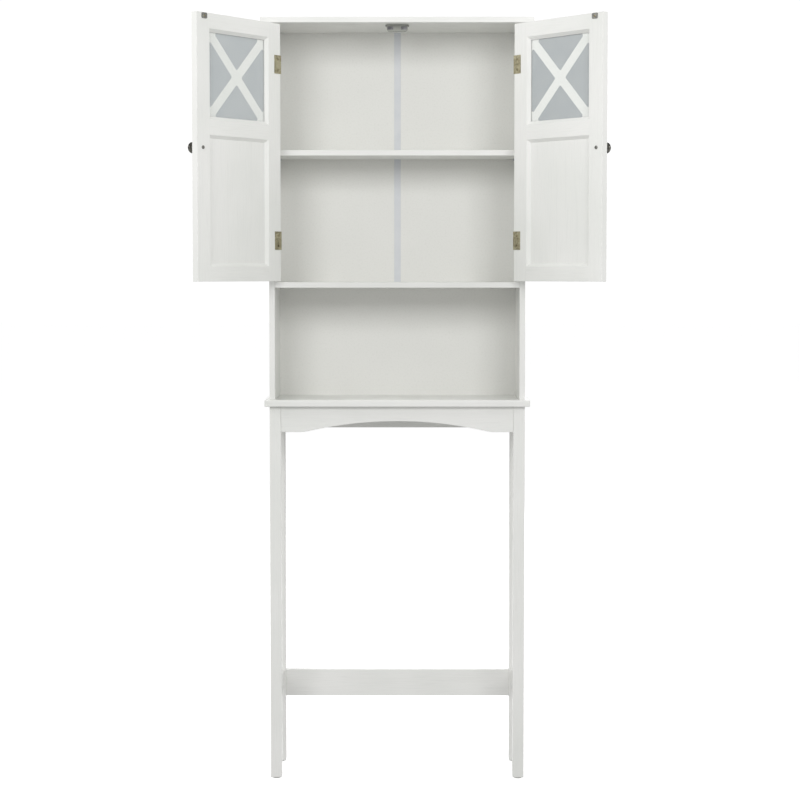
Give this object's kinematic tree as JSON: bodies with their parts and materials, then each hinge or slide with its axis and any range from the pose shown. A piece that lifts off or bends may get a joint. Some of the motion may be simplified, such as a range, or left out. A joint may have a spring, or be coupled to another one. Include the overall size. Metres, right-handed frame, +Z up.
{
  "type": "over the toilet storage cabinet",
  "caption": "Tall shallow white cabinet on an open leg frame, with hinged doors that have crossed bars over frosted windows, a shelf and an open compartment, standing over a toilet.",
  "frame": {"origin": "on the floor, in the middle of the four feet", "axes": "+Z up, +Y towards the wall behind, +X to the right as seen from the room"},
  "size_m": [0.888, 0.4017, 1.706],
  "materials": {
    "white_paint": "satin off-white paint over fine-grained board",
    "painted_back": "matte white foil on thin fibreboard",
    "frosted_pane": "frosted translucent sheet",
    "grey_strip": "matte blue-grey plastic",
    "antique_brass": "antique brass plate",
    "brass_screw": "antique brass plate",
    "dark_bronze": "dark bronze",
    "dark_steel": "blackened steel",
    "zinc": "zinc plate",
    "bare_wood": "bare beech",
    "grey_plastic": "moulded grey plastic",
    "magnet": "dull nickel",
    "glide_plastic": "grey nylon"
  },
  "bodies": {
    "cabinet": {"top_board": "white_paint", "left_side_panel": "white_paint", "right_side_panel": "white_paint", "floor_board": "white_paint", "ledge_board": "white_paint", "left_upper_back_board": "painted_back", "right_upper_back_board": "painted_back", "back_joining_strip": "grey_strip", "lower_back_board": "painted_back", "adjustable_shelf": "white_paint", "shelf_pins": "zinc", "front_left_leg": "white_paint", "front_right_leg": "white_paint", "rear_left_leg": "white_paint", "rear_right_leg": "white_paint", "leg_glides": "glide_plastic", "front_apron": "white_paint", "rear_apron": "white_paint", "left_upper_side_rail": "white_paint", "right_upper_side_rail": "white_paint", "left_side_stretcher": "white_paint", "right_side_stretcher": "white_paint", "rear_crossbar": "white_paint", "wood_dowels": "bare_wood", "cam_bolts": "zinc", "cam_locks": "zinc", "ledge_screws": "zinc", "back_nails": "zinc", "catch_housing": "grey_plastic", "catch_magnets": "magnet", "cabinet_small_screws": "brass_screw", "cabinet_hinge_leaves": "antique_brass", "hinge_pins": "antique_brass", "wall_brackets": "zinc"},
    "left_door": {"left_door_hinge_stile": "white_paint", "left_door_latch_stile": "white_paint", "left_door_top_rail": "white_paint", "left_door_mid_rail": "white_paint", "left_door_bottom_rail": "white_paint", "left_door_lower_panel": "white_paint", "left_door_window_pane": "frosted_pane", "left_door_window_grille": "white_paint", "left_door_hinge_leaves": "antique_brass", "left_door_small_screws": "brass_screw", "left_door_knob": "dark_bronze", "left_door_knob_screw": "dark_steel", "left_door_strike_plate": "dark_steel"},
    "right_door": {"right_door_hinge_stile": "white_paint", "right_door_latch_stile": "white_paint", "right_door_top_rail": "white_paint", "right_door_mid_rail": "white_paint", "right_door_bottom_rail": "white_paint", "right_door_lower_panel": "white_paint", "right_door_window_pane": "frosted_pane", "right_door_window_grille": "white_paint", "right_door_hinge_leaves": "antique_brass", "right_door_small_screws": "brass_screw", "right_door_knob": "dark_bronze", "right_door_knob_screw": "dark_steel", "right_door_strike_plate": "dark_steel"}
  },
  "joints": [
    {"name": "left_door_hinge", "type": "hinge", "parent": "cabinet", "child": "left_door", "pos_m": [-0.269, -0.0903, 1.3935], "axis": [0, 0, -1], "range_deg": [-127, 48]},
    {"name": "right_door_hinge", "type": "hinge", "parent": "cabinet", "child": "right_door", "pos_m": [0.269, -0.0903, 1.3935], "axis": [0, 0, 1], "range_deg": [-130.5, 44.5]}
  ]
}
